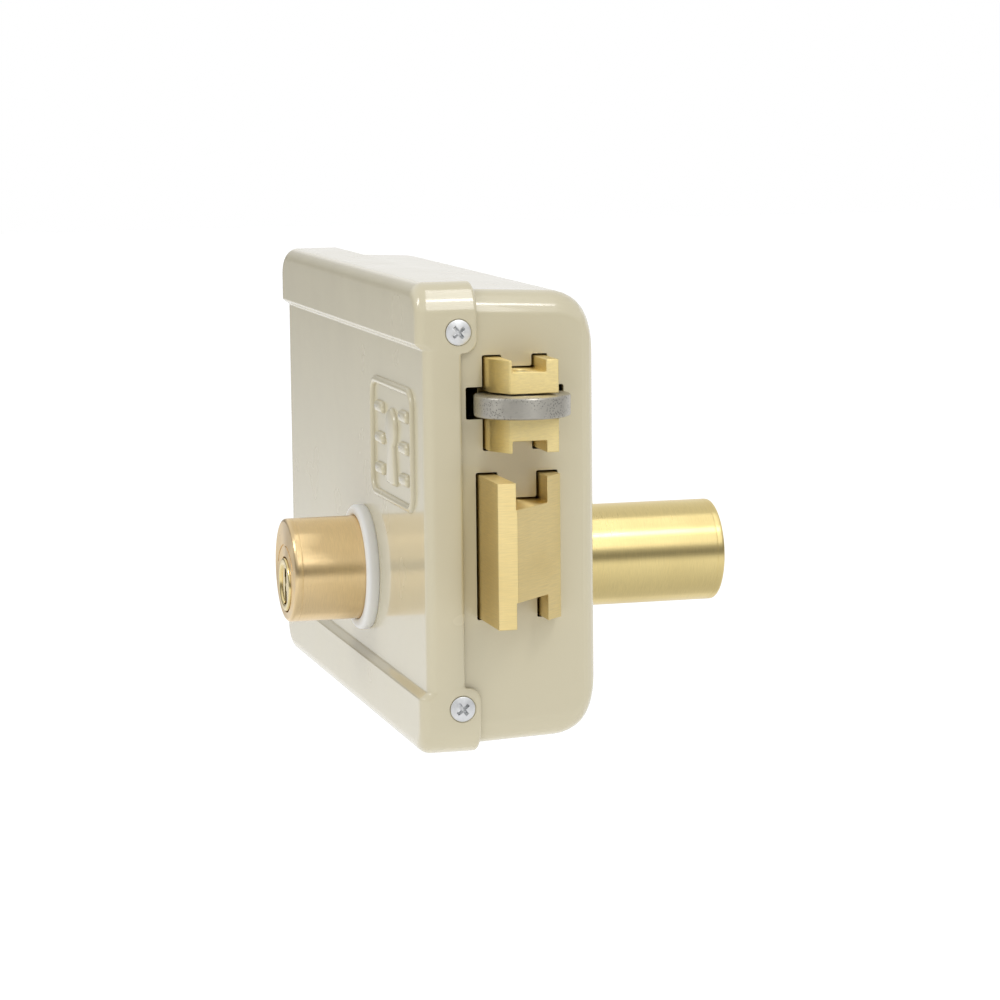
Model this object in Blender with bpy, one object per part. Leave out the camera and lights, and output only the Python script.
"""Rim deadbolt lock with a roller latch and a key cylinder on each side of the door.

The frame: the origin is the centre of the case's flat back, which lies on the door.
+X is the way the bolts are thrown, +Y goes out through the door, -Y is the cover side, +Z is up.
Every length below is in millimetres and is turned into metres when an object is made.
"""

import math

import bmesh
import bpy
from mathutils import Matrix, Vector

MM = 0.001
GAP = 0.3

# Case and cover
CASE_X = 77.0
CASE_Z_OPEN = 54.5
CASE_Z_BACK = 52.9
CASE_WALL = 1.5
CASE_RIM_Y = -39.5
CASE_BACK_ROUND = 10.0
CASE_END_ROUND = 5.0
CASE_CORNER = 6.0
COVER_X = 78.5
COVER_Z = 56.0
COVER_FRONT_Y = -44.0
COVER_PANEL_Y = -42.2
COVER_SHEET = 1.2
COVER_CORNER = 7.5
COVER_EDGE_ROUND = 2.4
COVER_LIP_Y = -33.2
COVER_EAR_Y = -29.3
COVER_EAR_Z = 39.6
PANEL_Z_TOP = 42.0
PANEL_Z_FLOOR = 40.2
MOUNT_HOLE_X = 52.0
MOUNT_HOLE_Z = 44.0
MOUNT_HOLE_R = 2.6

# Main bolt, its opening in the case edge and its travel
BOLT_Y = (-29.8, -9.8)
BOLT_Z = (-23.7, 11.3)
BOLT_TONGUE_Y = (-24.5, -15.1)
BOLT_TONGUE = 6.2
BOLT_FRONT = 95.0
BOLT_REAR = 58.0
BOLT_FLAT = 4.7
BOLT_TRAVEL = 17.25
BOLT_CLEARANCE = 0.45

# Roller latch and its opening
LATCH_Y = (-28.0, -12.1)
LATCH_Z = (16.4, 38.9)
LATCH_TONGUE_Y = (-23.3, -16.0)
LATCH_TONGUE = 2.8
LATCH_FRONT = 88.2
LATCH_REAR = 60.0
LATCH_CHAMFER_X = 6.5
LATCH_CHAMFER_Y = 3.2
ROLLER_X = 83.2
ROLLER_Y = -20.05
ROLLER_Z = 27.7
ROLLER_R = 11.3
ROLLER_H = 5.0
ROLLER_PIN_R = 2.0

# Cylinders: the body's axis, and the plug's axis below it
CYLINDER_X = 13.8
CYLINDER_Z = -19.5
CYLINDER_R = 13.0
PLUG_Z = -23.1
PLUG_R = 6.7
OUTER_END_Y = 49.3
INNER_END_Y = -62.9

# Gear train, stub teeth
MODULE = 1.0
DRIVE_TEETH = 10
REDUCTION_TEETH = 20
RACK_PINION_TEETH = 11
PRESSURE_ANGLE = math.radians(20)
ADDENDUM = 0.6
DEDENDUM = 0.9
BACKLASH = 0.15
CENTRE_DISTANCE = MODULE * (DRIVE_TEETH + REDUCTION_TEETH) / 2
GEAR_Z = CYLINDER_Z
GEAR_X = CYLINDER_X - math.sqrt(CENTRE_DISTANCE ** 2 - (GEAR_Z - PLUG_Z) ** 2)
RACK_Z = GEAR_Z + MODULE * RACK_PINION_TEETH / 2
WHEEL_Y = (-13.2, -10.0)
PLATE_Y = (-17.0, -14.0)

# Bolt tail plate, posts, lever and latch tail
PLATE_X = (-40.0, 66.0)
PLATE_TOP = 4.0
POST_Z = -4.5
POST_X = (30.0, -25.0)
POST_R = 3.0
LEVER_Y = (-27.0, -24.5)
TAIL_Y = (-21.5, -18.5)
TAIL_Z = (18.0, 24.0)
TAIL_PIN_R = 2.0
SPRING_Y = -18.5
SPRING_Z = 33.0
SPRING_R = 3.9
BRACKET_X = (8.0, 10.0)
BRIDGE_Y = (-31.6, -30.0)
PILLARS = [(x, z) for x in (-14.0, 45.0) for z in (14.4, -40.0)]
DETENT_X = -12.0

# Joint origins: x, y, z in millimetres
JOINTS = {
    "bolt": (BOLT_REAR, ROLLER_Y, (BOLT_Z[0] + BOLT_Z[1]) / 2),
    "latch": (LATCH_REAR, ROLLER_Y, ROLLER_Z),
    "roller": (ROLLER_X, ROLLER_Y, ROLLER_Z),
    "outer_key": (CYLINDER_X, OUTER_END_Y, PLUG_Z),
    "inner_key": (CYLINDER_X, INNER_END_Y, PLUG_Z),
    "gear": (GEAR_X, WHEEL_Y[0], GEAR_Z),
    "lever": (POST_X[0], LEVER_Y[0], POST_Z),
}

PAINT = ("ivory_paint", (0.62, 0.57, 0.43), 0.25, 0.0)
BRASS = ("satin_brass", (0.71, 0.54, 0.26), 0.32, 1.0)
STEEL = ("grey_steel", (0.42, 0.42, 0.43), 0.42, 1.0)
ZINC = ("bright_zinc", (0.72, 0.73, 0.75), 0.28, 1.0)
SPRING_STEEL = ("spring_steel", (0.30, 0.30, 0.32), 0.35, 1.0)
NYLON = ("white_nylon", (0.80, 0.80, 0.78), 0.40, 0.0)


def clear_scene():
    for obj in list(bpy.data.objects):
        bpy.data.objects.remove(obj, do_unlink=True)


def material(finish):
    name, colour, roughness, metallic = finish
    found = bpy.data.materials.get(name)
    if found:
        return found
    made = bpy.data.materials.new(name)
    made.use_nodes = True
    shader = made.node_tree.nodes["Principled BSDF"]
    shader.inputs["Base Color"].default_value = (*colour, 1.0)
    shader.inputs["Roughness"].default_value = roughness
    shader.inputs["Metallic"].default_value = metallic
    return made


# ---------------------------------------------------------------- solids

def loft(loops, closed=False):
    """Skins a row of point loops with quads. An open row gets an end face on each end."""
    bm = bmesh.new()
    rings = [[bm.verts.new(point) for point in loop] for loop in loops]
    pairs = list(zip(rings, rings[1:]))
    if closed:
        pairs.append((rings[-1], rings[0]))
    for ring, after in pairs:
        count = len(ring)
        for i in range(count):
            j = (i + 1) % count
            bm.faces.new((ring[i], ring[j], after[j], after[i]))
    if not closed:
        bm.faces.new(rings[0])
        bm.faces.new(rings[-1])
    bmesh.ops.recalc_face_normals(bm, faces=bm.faces)
    return bm


def on_axis(axis, u, v, along):
    """A point from two cross coordinates and one along the axis: x takes (y, z), y (x, z), z (x, y)."""
    return {"x": (along, u, v), "y": (u, along, v), "z": (u, v, along)}[axis]


def prism(points, axis, low, high):
    return loft([[on_axis(axis, u, v, end) for u, v in points] for end in (low, high)])


def block(x, y, z):
    return prism([(x[0], y[0]), (x[1], y[0]), (x[1], y[1]), (x[0], y[1])], "z", *z)


def circle(centre, radius, segments, start=0.0):
    steps = (start + math.tau * i / segments for i in range(segments))
    return [(centre[0] + radius * math.cos(a), centre[1] + radius * math.sin(a)) for a in steps]


def turned(profile, axis, centre, segments=24, closed=False):
    """A turned solid from (radius, position) pairs along its axis. A closed profile makes a ring."""
    loops = []
    for radius, along in profile:
        loops.append([on_axis(axis, u, v, along) for u, v in circle(centre, radius, segments)])
    return loft(loops, closed)


def rod(axis, centre, radius, low, high, segments=24):
    return turned([(radius, low), (radius, high)], axis, centre, segments)


def tube(axis, centre, outer, inner, low, high, segments=24):
    return turned([(outer, low), (outer, high), (inner, high), (inner, low)], axis, centre, segments, True)


def coil(axis, centre, radius, wire, low, high, turns, steps, sides):
    """A helical spring of round wire, between two positions on its axis."""
    loops = []
    count = int(turns * steps)
    for i in range(count + 1):
        angle = math.tau * i / steps
        along = low + wire + (high - low - 2 * wire) * i / count
        loop = []
        for k in range(sides):
            turn = math.tau * k / sides
            reach = radius + wire * math.cos(turn)
            u = centre[0] + reach * math.cos(angle)
            v = centre[1] + reach * math.sin(angle)
            loop.append(on_axis(axis, u, v, along + wire * math.sin(turn)))
        loops.append(loop)
    return loft(loops)


def rounded_box_loop(half_x, half_z, corner, y, steps=3):
    """A rectangle with round corners, across Y, as points in order."""
    loop = []
    for k, (sx, sz) in enumerate(((1, 1), (-1, 1), (-1, -1), (1, -1))):
        for i in range(steps + 1):
            angle = math.radians(90 * k + 90 * i / steps)
            x = sx * (half_x - corner) + corner * math.cos(angle)
            z = sz * (half_z - corner) + corner * math.sin(angle)
            loop.append((x, y, z))
    return loop


# ---------------------------------------------------------------- objects

def to_object(name, bm):
    mesh = bpy.data.meshes.new(name)
    bm.to_mesh(mesh)
    bm.free()
    obj = bpy.data.objects.new(name, mesh)
    bpy.context.scene.collection.objects.link(obj)
    return obj


def cut_away(obj, tool_bm):
    tool = to_object("tool", tool_bm)
    modifier = obj.modifiers.new("cut", "BOOLEAN")
    modifier.object = tool
    modifier.operation = "DIFFERENCE"
    modifier.solver = "EXACT"
    evaluated = obj.evaluated_get(bpy.context.evaluated_depsgraph_get())
    baked = bpy.data.meshes.new_from_object(evaluated)
    obj.modifiers.clear()
    obj.data = baked
    bpy.data.objects.remove(tool, do_unlink=True)


def piece(name, finish, solid, cuts=(), joint=None):
    """One named object: a solid less its cuts. A moving piece has its origin on its joint."""
    obj = to_object(name, solid)
    for cut in cuts:
        cut_away(obj, cut)
    mesh = obj.data
    clean = bmesh.new()
    clean.from_mesh(mesh)
    bmesh.ops.remove_doubles(clean, verts=clean.verts, dist=0.002)
    bmesh.ops.dissolve_degenerate(clean, edges=clean.edges, dist=0.002)
    clean.to_mesh(mesh)
    clean.free()
    origin = Vector(JOINTS[joint] if joint else (0, 0, 0))
    mesh.transform(Matrix.Scale(MM, 4) @ Matrix.Translation(-origin))
    mesh.name = name
    mesh.materials.clear()
    mesh.materials.append(material(finish))
    mesh.shade_smooth()
    mesh.set_sharp_from_angle(angle=math.radians(35))
    obj.location = origin * MM


def pieces(name, finish, solids, joint=None):
    """Identical pieces, each its own object with a number."""
    for number, solid in enumerate(solids, 1):
        piece(f"{name}_{number}", finish, solid, joint=joint)


# ---------------------------------------------------------------- gears

def involute_angle(radius, base):
    ratio = min(1.0, base / radius)
    pressure = math.acos(ratio)
    return math.tan(pressure) - pressure


def gear_outline(teeth, centre, tooth_angle):
    """A stub-tooth spur gear's outline in X and Z, with one tooth pointing along tooth_angle."""
    pitch = MODULE * teeth / 2
    base = pitch * math.cos(PRESSURE_ANGLE)
    tip = pitch + ADDENDUM * MODULE
    root = pitch - DEDENDUM * MODULE
    half = (math.pi * MODULE / 2 - BACKLASH) / 2 / pitch + involute_angle(pitch, base)
    flank = [max(root, base) + (tip - max(root, base)) * i / 2 for i in range(3)]
    points = []
    for tooth in range(teeth):
        middle = tooth_angle + math.tau * tooth / teeth
        side = [(r, half - involute_angle(r, base)) for r in flank]
        if root < base:
            side.insert(0, (root, half))
        for r, offset in side:
            points.append((r, middle - offset))
        for r, offset in reversed(side):
            points.append((r, middle + offset))
    return [(centre[0] + r * math.cos(a), centre[1] + r * math.sin(a)) for r, a in points]


def rack_edge(first, count):
    """The toothed lower edge, left to right, with a gap's middle at the gear's x."""
    pitch = math.pi * MODULE
    slope = math.tan(PRESSURE_ANGLE)
    half = pitch / 4 - BACKLASH / 2
    points = []
    for tooth in range(first, first + count):
        middle = GEAR_X + pitch * (tooth + 0.5)
        root = half + DEDENDUM * MODULE * slope
        tip = half - ADDENDUM * MODULE * slope
        top = RACK_Z + DEDENDUM * MODULE
        bottom = RACK_Z - ADDENDUM * MODULE
        points += [(middle - root, top), (middle - tip, bottom)]
        points += [(middle + tip, bottom), (middle + root, top)]
    return points


# ---------------------------------------------------------------- case and cover

def case_half_z(y):
    share = (y - CASE_RIM_Y) / -CASE_RIM_Y
    return CASE_Z_OPEN + (CASE_Z_BACK - CASE_Z_OPEN) * share


def case_loops(inset, back_y):
    """Loops of the case skin from its rim to its back, inset by a wall's thickness."""
    loops = [rounded_box_loop(CASE_X - inset, case_half_z(CASE_RIM_Y) - inset, CASE_CORNER - inset,
                              CASE_RIM_Y)]
    round_z = CASE_BACK_ROUND - inset
    round_x = CASE_END_ROUND - inset
    depths = [round_z * (1 - math.sin(math.radians(a))) for a in (0, 25, 45, 62, 76, 90)]
    for depth in depths:
        y = back_y - depth
        drop_z = round_z - math.sqrt(max(0.0, round_z ** 2 - (round_z - depth) ** 2))
        near = max(0.0, round_x - depth)
        drop_x = round_x - math.sqrt(max(0.0, round_x ** 2 - near ** 2))
        half_z = case_half_z(y) - inset - drop_z
        loops.append(rounded_box_loop(CASE_X - inset - drop_x, half_z, CASE_CORNER - inset, y))
    return loops


def notched(y, z, tongue_y, tongue):
    """A bolt's section: a rectangle with a notch in its top and its bottom, as (y, z) points."""
    low, high = z[0] + tongue, z[1] - tongue
    left, right = tongue_y
    return [(y[0], z[0]), (left, z[0]), (left, low), (right, low), (right, z[0]), (y[1], z[0]),
            (y[1], z[1]), (right, z[1]), (right, high), (left, high), (left, z[1]), (y[0], z[1])]


def edge_openings(low, high, grow=0.0):
    """Cutters for both bolts and the roller through the edge wall."""
    main = notched(BOLT_Y, BOLT_Z, BOLT_TONGUE_Y, BOLT_TONGUE)
    latch = notched(LATCH_Y, LATCH_Z, LATCH_TONGUE_Y, LATCH_TONGUE)
    roller_y = (ROLLER_Y - 11.95 - grow, ROLLER_Y + 11.85 + grow)
    roller_z = (ROLLER_Z - 3.8 - grow, ROLLER_Z + 3.8 + grow)
    return [prism(main, "x", low, high), prism(latch, "x", low, high),
            block((low, high), roller_y, roller_z)]


def case_shell():
    outer = case_loops(0.0, 0.0)
    inner = case_loops(CASE_WALL, -CASE_WALL)
    cuts = edge_openings(CASE_X - 4, CASE_X + 4)
    cuts.append(rod("y", (CYLINDER_X, CYLINDER_Z), CYLINDER_R + GAP, -5, 5, 48))
    for x in (-MOUNT_HOLE_X, MOUNT_HOLE_X):
        for z in (-MOUNT_HOLE_Z, MOUNT_HOLE_Z):
            cuts.append(rod("y", (x, z), MOUNT_HOLE_R, -5, 5, 16))
    for x, z in clamp_screw_places():
        cuts.append(turned([(2.3, -5), (2.3, -CASE_WALL), (3.3, -0.3), (3.3, 1.0)], "y", (x, z), 16))
    for side in (-1, 1):
        for z in (-cover_screw_z(), cover_screw_z()):
            ends = sorted((side * (CASE_X - 4), side * (CASE_X + 4)))
            cuts.append(rod("x", (cover_screw_y(), z), 1.8, *ends, 12))
    piece("case_shell", PAINT, loft(list(reversed(inner)) + outer), cuts)


def cover_screw_y():
    return -33.9


def cover_screw_z():
    return 44.5


def clamp_screw_places():
    return [(CYLINDER_X + reach, CYLINDER_Z - 7.5) for reach in (-19.0, 19.0)]


def cover_loops(inset, front_y):
    """Loops of the cover skin from its open edge to its rounded front."""
    loops = [rounded_box_loop(COVER_X - inset, COVER_Z - inset, COVER_CORNER - inset, COVER_EAR_Y)]
    round_edge = COVER_EDGE_ROUND - inset
    for degrees in (0, 30, 60, 90):
        y = front_y + round_edge * (1 - math.sin(math.radians(degrees)))
        drop = round_edge * (1 - math.cos(math.radians(degrees)))
        loops.append(rounded_box_loop(COVER_X - inset - drop, COVER_Z - inset - drop,
                                      COVER_CORNER - inset, y))
    return loops


def cover():
    outer = cover_loops(0.0, COVER_FRONT_Y)
    inner = cover_loops(COVER_SHEET, COVER_PANEL_Y + COVER_SHEET)
    reach = COVER_X + 2
    slope = (PANEL_Z_TOP - PANEL_Z_FLOOR) / (COVER_PANEL_Y - COVER_FRONT_Y)
    deep = COVER_FRONT_Y - 2
    wide = PANEL_Z_TOP + 2 * slope
    recess = [(COVER_PANEL_Y, -PANEL_Z_FLOOR), (deep, -wide), (deep, wide), (COVER_PANEL_Y, PANEL_Z_FLOOR)]
    cuts = [prism(recess, "x", -reach, reach)]
    cuts.append(rod("y", (CYLINDER_X, CYLINDER_Z), CYLINDER_R + GAP, -50, -38, 48))
    round_ear = 3.0
    for side in (-1, 1):
        ends = sorted((side * (COVER_X - 4), side * (COVER_X + 4)))
        notch = [(COVER_EAR_Y + 2, -COVER_EAR_Z), (COVER_LIP_Y, -COVER_EAR_Z)]
        notch += [(COVER_LIP_Y, COVER_EAR_Z), (COVER_EAR_Y + 2, COVER_EAR_Z)]
        cuts.append(prism(notch, "x", *ends))
        for z_side in (-1, 1):
            corner = [(COVER_EAR_Y + 1, z_side * (COVER_EAR_Z - 1)),
                      (COVER_EAR_Y + 1, z_side * (COVER_EAR_Z + round_ear))]
            for i in range(5):
                angle = math.radians(90 * i / 4)
                y = COVER_EAR_Y - round_ear + round_ear * math.cos(angle)
                z = COVER_EAR_Z + round_ear - round_ear * math.sin(angle)
                corner.append((y, z_side * z))
            corner.append((COVER_EAR_Y - round_ear, z_side * (COVER_EAR_Z - 1)))
            cuts.append(prism(corner, "x", *ends))
            profile = [(1.8, side * (CASE_X - 1)), (1.8, side * (CASE_X + 0.3)), (3.15, side * COVER_X),
                       (3.4, side * (COVER_X + 1))]
            cuts.append(turned(profile, "x", (cover_screw_y(), z_side * cover_screw_z()), 16))
    piece("cover", PAINT, loft(list(reversed(inner)) + outer), cuts)


def screw(axis, centre, seat, direction, length, head_r, shank_r, segments=12):
    """A countersunk screw: its head's face stands 0.15 above the seat and its shank runs the other way."""
    profile = [(head_r * 0.6, seat + direction * 0.35), (head_r, seat + direction * 0.12),
               (shank_r, seat - direction * (head_r - shank_r)), (shank_r, seat - direction * length)]
    return turned(profile, axis, centre, segments)


def cover_screws():
    for name, side in (("cover_screw_edge", 1), ("cover_screw_rear", -1)):
        solids = []
        for z in (-cover_screw_z(), cover_screw_z()):
            solids.append(screw("x", (cover_screw_y(), z), side * COVER_X, side, 7.0, 2.85, 1.5, 16))
        pieces(name, ZINC, solids)


# ---------------------------------------------------------------- cylinders

def cylinder(side):
    label = "outer" if side > 0 else "inner"
    end = OUTER_END_Y if side > 0 else INNER_END_Y
    root = -6.0 if side > 0 else -31.9
    tail = -7.5 if side > 0 else -29.2
    axis = (CYLINDER_X, CYLINDER_Z)
    plug_axis = (CYLINDER_X, PLUG_Z)
    key = label + "_key"
    profile = [(CYLINDER_R, root), (CYLINDER_R, end - side * 1.4), (CYLINDER_R - 0.4, end - side * 0.4),
               (CYLINDER_R - 1.4, end)]
    cuts = [rod("y", plug_axis, PLUG_R + GAP, root - side * 2, end + side * 2, 24)]
    plug_cuts = [block((CYLINDER_X - 1.1, CYLINDER_X + 1.1), sorted((end + side, end - side * 26)),
                       (PLUG_Z - 5.2, PLUG_Z + 4.2))]
    if side < 0:
        for x, z in inner_screw_places():
            cuts.append(rod("y", (x, z), 1.8, root - 7, root + 1, 12))
    piece(label + "_cylinder_body", BRASS, turned(profile, "y", axis, 48), cuts)
    face = end + side * 0.5
    plug = [(PLUG_R, tail), (PLUG_R, face - side * 0.4), (PLUG_R - 0.4, face), (PLUG_R - 1.2, face),
            (PLUG_R - 1.6, face - side * 0.4)]
    piece(label + "_plug", BRASS, turned(plug, "y", plug_axis, 32), plug_cuts, joint=key)


def inner_screw_places():
    return [(CYLINDER_X - 8.5, CYLINDER_Z + 5.5), (CYLINDER_X + 8.5, CYLINDER_Z + 5.5)]


def cylinder_fixings():
    collar = [(CYLINDER_R + GAP, COVER_PANEL_Y - GAP), (15.75, COVER_PANEL_Y - GAP),
              (15.75, COVER_PANEL_Y - 2.2),
              (15.0, COVER_PANEL_Y - 3.0), (CYLINDER_R + 0.8, COVER_PANEL_Y - 3.0),
              (CYLINDER_R + GAP, COVER_PANEL_Y - 2.4)]
    piece("inner_collar", NYLON, turned(collar, "y", (CYLINDER_X, CYLINDER_Z), 40, True))
    axis = (CYLINDER_X, CYLINDER_Z)
    holes = [rod("y", place, 1.8, -8, 0, 12) for place in clamp_screw_places()]
    holes.append(rod("y", axis, CYLINDER_R + GAP, -8, 0, 40))
    plate = block((CYLINDER_X - 24, CYLINDER_X + 24), (-4.8, -1.8), (CYLINDER_Z - 18, CYLINDER_Z + 9.5))
    piece("cylinder_clamp_plate", STEEL, plate, holes)
    screws = [screw("y", place, -0.6, 1, 5.6, 2.8, 1.5) for place in clamp_screw_places()]
    pieces("cylinder_clamp_screw", ZINC, screws)
    heads = []
    for place in inner_screw_places():
        profile = [(1.5, -37.0), (1.5, BRIDGE_Y[1] + GAP), (2.7, BRIDGE_Y[1] + GAP),
                   (2.4, BRIDGE_Y[1] + 1.5)]
        heads.append(turned(profile, "y", place, 12))
    pieces("inner_cylinder_screw", ZINC, heads)


def bridge():
    """The plate over the gears, on four pillars, that carries the inner cylinder and the gear axle."""
    plate = block((-18.5, 49.5), BRIDGE_Y, (-44.5, 16.5))
    cuts = [rod("y", (CYLINDER_X, PLUG_Z), 9.2, -33, -28, 32),
            rod("y", (GEAR_X, GEAR_Z), 1.8, -33, -28, 16)]
    cuts += [rod("y", place, 1.8, -33, -28, 12) for place in PILLARS + inner_screw_places()]
    piece("cylinder_bridge", STEEL, plate, cuts)
    pillars = [tube("y", place, 2.7, 1.8, BRIDGE_Y[1] + GAP, -CASE_WALL - GAP, 12) for place in PILLARS]
    pieces("bridge_pillar", STEEL, pillars)
    screws = []
    for place in PILLARS:
        profile = [(2.4, BRIDGE_Y[0] - 1.6), (2.8, BRIDGE_Y[0] - GAP), (1.5, BRIDGE_Y[0] - GAP),
                   (1.5, -22.0)]
        screws.append(turned(profile, "y", place, 12))
    pieces("bridge_screw", ZINC, screws)


# ---------------------------------------------------------------- gear train

def gear_train():
    gear_axis = (GEAR_X, GEAR_Z)
    toward = math.atan2(GEAR_Z - PLUG_Z, GEAR_X - CYLINDER_X)
    axle = [(3.4, WHEEL_Y[1] + 1.4), (3.4, WHEEL_Y[1] + GAP), (2.0, WHEEL_Y[1] + GAP),
            (2.0, BRIDGE_Y[1] + GAP),
            (1.5, BRIDGE_Y[1] + GAP), (1.5, BRIDGE_Y[0] - 0.6)]
    piece("gear_axle", STEEL, turned(list(reversed(axle)), "y", gear_axis, 20))
    spacer = tube("y", gear_axis, 3.4, 2.3, BRIDGE_Y[1] + 2 * GAP, PLATE_Y[0] - GAP, 20)
    piece("gear_spacer", STEEL, spacer)
    half_gap = math.pi / REDUCTION_TEETH
    wheel = gear_outline(REDUCTION_TEETH, gear_axis, toward + math.pi + half_gap)
    bore = rod("y", gear_axis, 2.3, -20, -5, 20)
    holes = [rod("y", place, 1.6, -20, -5, 8) for place in circle(gear_axis, 6.0, 4, math.radians(20))]
    piece("reduction_gear", STEEL, prism(wheel, "y", *WHEEL_Y), [bore] + holes, joint="gear")
    small = gear_outline(RACK_PINION_TEETH, gear_axis, math.pi / 2)
    bore = rod("y", gear_axis, 2.3, -20, -5, 20)
    piece("rack_pinion", BRASS, prism(small, "y", PLATE_Y[0], WHEEL_Y[0] - GAP), [bore], joint="gear")
    drive = gear_outline(DRIVE_TEETH, (CYLINDER_X, PLUG_Z), toward)
    square = block((CYLINDER_X - 1.3, CYLINDER_X + 1.3), (-20, -5), (PLUG_Z - 2.6, PLUG_Z + 2.6))
    piece("drive_pinion", STEEL, prism(drive, "y", *WHEEL_Y), [square], joint="outer_key")
    bar = block((CYLINDER_X - 1.0, CYLINDER_X + 1.0), (-15.0, -7.5 - GAP), (PLUG_Z - 2.3, PLUG_Z + 2.3))
    piece("outer_tail_bar", STEEL, bar, joint="outer_key")
    nose = [(CYLINDER_X + 5.5 * math.cos(a), PLUG_Z + 5.5 * math.sin(a))
            for a in (math.radians(-30 + 240 * i / 12) for i in range(13))]
    nose += [(CYLINDER_X - 2.2, PLUG_Z - 8.2), (CYLINDER_X + 2.2, PLUG_Z - 8.2)]
    piece("inner_drive_dog", STEEL, prism(nose, "y", -28.9, -24.0), joint="inner_key")


# ---------------------------------------------------------------- bolts

def main_bolt():
    c = BOLT_CLEARANCE
    y = (BOLT_Y[0] + c, BOLT_Y[1] - c)
    z = (BOLT_Z[0] + c, BOLT_Z[1] - c)
    section = notched(y, z, (BOLT_TONGUE_Y[0] - c, BOLT_TONGUE_Y[1] + c), BOLT_TONGUE)
    bevel_y = y[0] + BOLT_FLAT
    wedge = [(BOLT_FRONT, bevel_y), (BOLT_FRONT + 5, bevel_y - 5), (BOLT_FRONT + 5, y[1] + 5),
             (BOLT_FRONT - (y[1] + 5 - bevel_y), y[1] + 5)]
    slot = block((BOLT_REAR - 2, PLATE_X[1] + GAP), (PLATE_Y[0] - GAP, PLATE_Y[1] + GAP),
                 (z[0] - 1, z[1] + 1))
    places = [(BOLT_REAR + 4, -11.0), (BOLT_REAR + 4, -1.0)]
    holes = [rod("y", place, 1.8, -40, 0, 12) for place in places]
    piece("main_bolt_head", BRASS, prism(section, "x", BOLT_REAR, BOLT_FRONT),
          [prism(wedge, "z", z[0] - 2, z[1] + 2), slot] + holes, joint="bolt")
    edge = rack_edge(-2, 9)
    outline = [(PLATE_X[0], RACK_Z + DEDENDUM)] + edge + [(PLATE_X[1], RACK_Z + DEDENDUM),
                                                          (PLATE_X[1], PLATE_TOP)]
    for x in (DETENT_X + BOLT_TRAVEL, DETENT_X):
        outline += [(x + 1.8, PLATE_TOP), (x, PLATE_TOP - 1.6), (x - 1.8, PLATE_TOP)]
    outline.append((PLATE_X[0], PLATE_TOP))
    cuts = [rod("y", place, 1.8, -40, 0, 12) for place in places]
    for x in POST_X:
        reach = POST_R + GAP
        cuts.append(block((x - reach, x + BOLT_TRAVEL + reach), (-20, -10),
                          (POST_Z - reach, POST_Z + reach)))
    piece("main_bolt_plate", STEEL, prism(outline, "y", *PLATE_Y), cuts, joint="bolt")
    rivets = [rod("y", place, 1.5, y[0] + 0.2, y[1] - 0.2, 12) for place in places]
    pieces("main_bolt_rivet", STEEL, rivets, joint="bolt")


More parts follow.
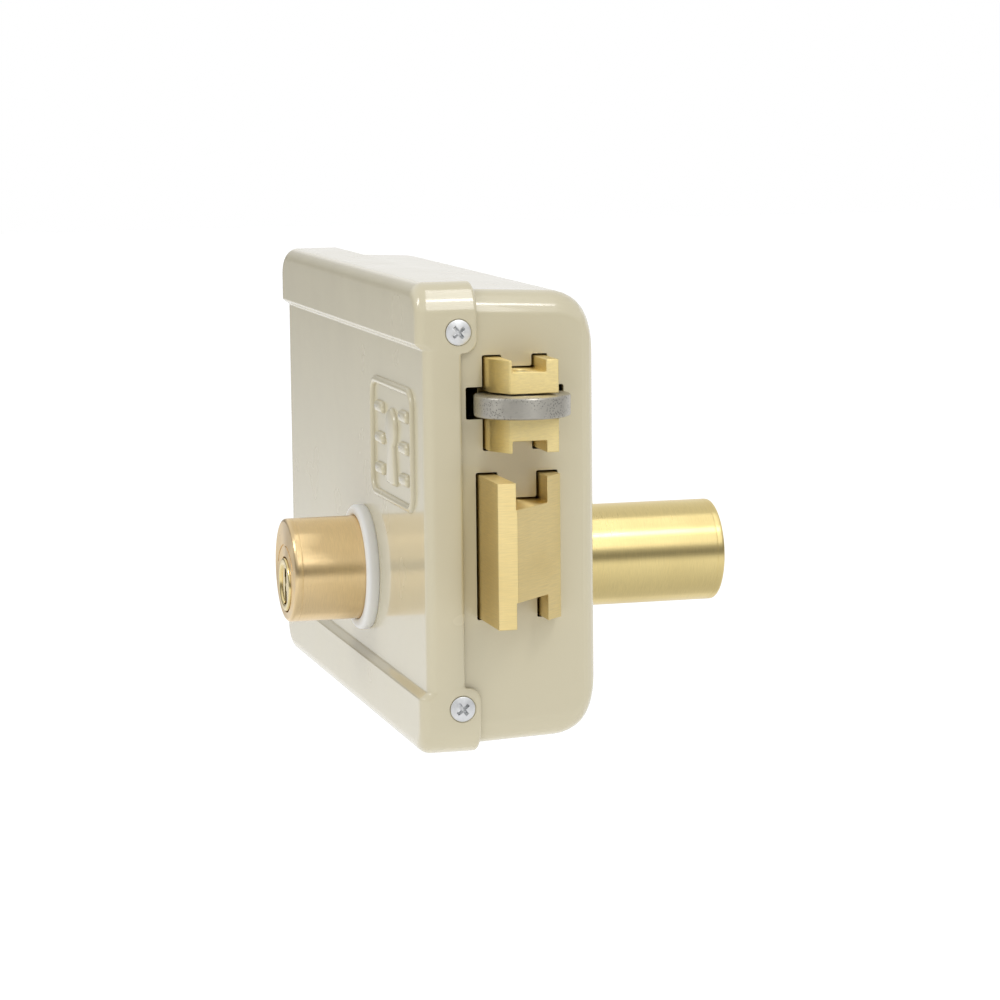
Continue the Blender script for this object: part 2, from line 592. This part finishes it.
def latch():
    c = BOLT_CLEARANCE
    y = (LATCH_Y[0] + c, LATCH_Y[1] - c)
    z = (LATCH_Z[0] + c, LATCH_Z[1] - c)
    section = notched(y, z, (LATCH_TONGUE_Y[0] - c, LATCH_TONGUE_Y[1] + c), LATCH_TONGUE)
    chamfer = [(LATCH_FRONT - LATCH_CHAMFER_X, y[0]), (LATCH_FRONT - LATCH_CHAMFER_X - 2, y[0] - 1),
               (LATCH_FRONT + 2, y[0] - 1), (LATCH_FRONT + 2, y[0] + LATCH_CHAMFER_Y + 1),
               (LATCH_FRONT, y[0] + LATCH_CHAMFER_Y)]
    half = ROLLER_H / 2 + 0.45
    slot = block((ROLLER_X - ROLLER_R - 1.2, LATCH_FRONT + 2), (-40, 0), (ROLLER_Z - half, ROLLER_Z + half))
    tail_slot = block((LATCH_REAR - 2, 66.3), (TAIL_Y[0] - GAP, TAIL_Y[1] + GAP),
                      (TAIL_Z[0] - GAP, TAIL_Z[1] + GAP))
    bore = rod("z", (ROLLER_X, ROLLER_Y), ROLLER_PIN_R + GAP, 10, 45, 20)
    rivet = (63.0, (TAIL_Z[0] + TAIL_Z[1]) / 2)
    cuts = [prism(chamfer, "z", z[0] - 2, z[1] + 2), slot, tail_slot, bore,
            rod("y", rivet, 1.8, -40, 0, 12),
            rod("x", (SPRING_Y, SPRING_Z), 2.3 + GAP, LATCH_REAR - 1, 66.3, 16)]
    piece("latch_head", BRASS, prism(section, "x", LATCH_REAR, LATCH_FRONT), cuts, joint="latch")
    pin_x = POST_X[0]
    middle = (TAIL_Z[0] + TAIL_Z[1]) / 2
    tail_cuts = [rod("y", rivet, 1.8, -40, 0, 12), rod("y", (pin_x, middle), TAIL_PIN_R + GAP, -40, 0, 16)]
    piece("latch_tail", STEEL, block((-4.0, 66.0), TAIL_Y, TAIL_Z), tail_cuts, joint="latch")
    piece("latch_tail_rivet", STEEL, rod("y", rivet, 1.5, y[0] + 0.2, y[1] - 0.2, 12), joint="latch")
    pin = [(TAIL_PIN_R, -28.0), (TAIL_PIN_R, TAIL_Y[1] + GAP), (3.2, TAIL_Y[1] + GAP),
           (3.2, TAIL_Y[1] + 1.2)]
    piece("latch_tail_pin", STEEL, turned(pin, "y", (pin_x, middle), 16), joint="latch")
    rod_solid = rod("x", (SPRING_Y, SPRING_Z), 2.3, 0.0, 66.0, 16)
    piece("latch_spring_rod", STEEL, rod_solid, joint="latch")
    spring = coil("x", (SPRING_Y, SPRING_Z), SPRING_R - 0.2, 0.6, BRACKET_X[1] + GAP, LATCH_REAR - GAP,
                  9, 10, 5)
    piece("latch_spring", SPRING_STEEL, spring)
    floor = (z[0] + LATCH_TONGUE, z[1] - LATCH_TONGUE)
    pin_ends = (floor[0] + 0.3, floor[1] - 0.3)
    piece("roller_pin", STEEL, rod("z", (ROLLER_X, ROLLER_Y), ROLLER_PIN_R, *pin_ends, 20), joint="latch")
    low, high = ROLLER_Z - ROLLER_H / 2, ROLLER_Z + ROLLER_H / 2
    profile = [(ROLLER_PIN_R + GAP, low), (ROLLER_R - 0.5, low), (ROLLER_R, low + 0.4),
               (ROLLER_R, high - 0.4),
               (ROLLER_R - 0.5, high), (ROLLER_PIN_R + GAP, high)]
    piece("roller", STEEL, turned(profile, "z", (ROLLER_X, ROLLER_Y), 40, True), joint="roller")


def lever():
    """The lever on the front post: a fork round the latch tail's pin above, a short arm below."""
    x, z = POST_X[0], POST_Z
    fork = TAIL_PIN_R + 0.6
    top = TAIL_Z[1] + 3.5
    arm = 6.0
    outline = [(x - 5.0, z - 3.6), (x - 10.5, z - 10.5), (x - 7.0, z - 13.5), (x + 0.5, z - 5.8),
               (x + 4.2, z - 4.2),
               (x + 6.0, z), (x + arm - 1.0, z + 6), (x + arm - 0.8, top), (x + fork, top), (x + fork,
                                                                                             TAIL_Z[0] - 1.5),
               (x - fork, TAIL_Z[0] - 1.5), (x - fork, top), (x - arm + 0.8, top), (x - arm + 1.0, z + 6),
               (x - 6.0, z)]
    bore = rod("y", (x, z), POST_R + GAP, -40, -10, 20)
    piece("latch_lever", STEEL, prism(outline, "y", *LEVER_Y), [bore], joint="lever")


# ---------------------------------------------------------------- fixed inner pieces

def guide_posts():
    ends = {"front": -29.05, "rear": -19.05}
    for (label, end), x in zip(ends.items(), POST_X):
        profile = [(4.2, -CASE_WALL - GAP), (4.2, -4.0), (POST_R, -4.0), (POST_R, end + 1.9),
                   (2.2, end + 1.9),
                   (2.2, end + 0.9), (POST_R - 0.4, end + 0.9), (POST_R - 0.4, end)]
        piece("guide_post_" + label, STEEL, turned(profile, "y", (x, POST_Z), 20))
    clips = []
    for end, x in zip(ends.values(), POST_X):
        clips.append(tube("y", (x, POST_Z), 4.6, 2.45, end + 1.05, end + 1.75, 20))
    pieces("post_clip", SPRING_STEEL, clips)
    spacer = tube("y", (POST_X[0], POST_Z), 4.6, POST_R + GAP, LEVER_Y[1] + GAP, PLATE_Y[0] - GAP, 20)
    piece("lever_spacer", STEEL, spacer)


def guide_plate():
    """The folded plate behind the case edge that both bolts slide through."""
    profile = [(75.2, -38.0), (75.2, -7.0), (71.4, -1.8), (60.0, -1.8), (60.0, -3.3), (70.6, -3.3),
               (73.2, -6.8),
               (73.2, -38.0)]
    grow = 0.4
    main = block((70, 78), (BOLT_Y[0] - grow, BOLT_Y[1] + grow), (BOLT_Z[0] - grow, BOLT_Z[1] + grow))
    latch_hole = block((70, 78), (LATCH_Y[0] - grow, LATCH_Y[1] + grow),
                       (LATCH_Z[0] - grow, LATCH_Z[1] + grow))
    roller_hole = block((70, 78), (ROLLER_Y - 12.3, ROLLER_Y + 12.3), (ROLLER_Z - 4.2, ROLLER_Z + 4.2))
    piece("bolt_guide_plate", STEEL, prism(profile, "z", -30.0, 42.0), [main, latch_hole, roller_hole])


def latch_bracket():
    """The angle bracket that the latch tail and the spring rod slide through."""
    profile = [(BRACKET_X[0], -30.0), (BRACKET_X[1], -30.0), (BRACKET_X[1], -3.6), (24.0, -3.6),
               (24.0, -1.8),
               (BRACKET_X[0], -1.8)]
    screws = [(19.0, 18.5), (19.0, 35.0)]
    window = block((5, 15), (TAIL_Y[0] - GAP, TAIL_Y[1] + GAP), (TAIL_Z[0] - GAP, TAIL_Z[1] + GAP))
    hole = rod("x", (SPRING_Y, SPRING_Z), 2.3 + GAP, 5, 15, 16)
    cuts = [window, hole] + [rod("y", place, 1.8, -6, 0, 12) for place in screws]
    piece("latch_bracket", STEEL, prism(profile, "z", 14.0, 40.0), cuts)
    solids = []
    for place in screws:
        profile = [(2.4, -5.5), (2.8, -3.6 - GAP), (1.5, -3.6 - GAP), (1.5, -CASE_WALL - GAP)]
        solids.append(turned(profile, "y", place, 12))
    pieces("latch_bracket_screw", ZINC, solids)


def detent():
    """The leaf spring whose nose drops into a notch of the bolt plate, and the block it is screwed to."""
    nose = DETENT_X
    low = PLATE_TOP + 0.35
    strip = 0.7
    lower = [(-56.0, 9.0), (-44.0, 9.0), (nose - 3.4, low + 0.2), (nose - 2.0, low + 0.2),
             (nose, low - 1.25),
             (nose + 2.0, low + 0.2), (nose + 3.6, low + 1.4)]
    upper = [(nose + 3.4, low + 1.4 + strip), (nose + 1.7, low + 0.4 + strip), (nose, low - 1.0 + strip),
             (nose - 1.7, low + 0.4 + strip), (nose - 3.2, low + 0.4 + strip), (-43.8,
                                                                                9.0 + strip), (-56.0,
                                                                                               9.0 + strip)]
    hole = (-51.0, (PLATE_Y[0] + PLATE_Y[1]) / 2)
    leaf_cut = rod("z", hole, 1.1, 5, 15, 12)
    piece("detent_spring", SPRING_STEEL, prism(lower + upper, "y", *PLATE_Y), [leaf_cut])
    base = 9.0 + strip + GAP
    body = block((-56.0, -45.0), (PLATE_Y[0], -CASE_WALL - GAP), (base, base + 8.0))
    piece("detent_block", STEEL, body, [rod("z", hole, 1.1, 5, base + 6, 12)])
    profile = [(1.35, 9.0 - 1.4), (1.45, 9.0 - GAP), (0.8, 9.0 - GAP), (0.8, base + 5)]
    piece("detent_screw", ZINC, turned(profile, "z", hole, 12))


def main():
    clear_scene()
    case_shell()
    cover()
    cover_screws()
    for side in (1, -1):
        cylinder(side)
    cylinder_fixings()
    bridge()
    gear_train()
    main_bolt()
    latch()
    lever()
    guide_posts()
    guide_plate()
    latch_bracket()
    detent()


main()
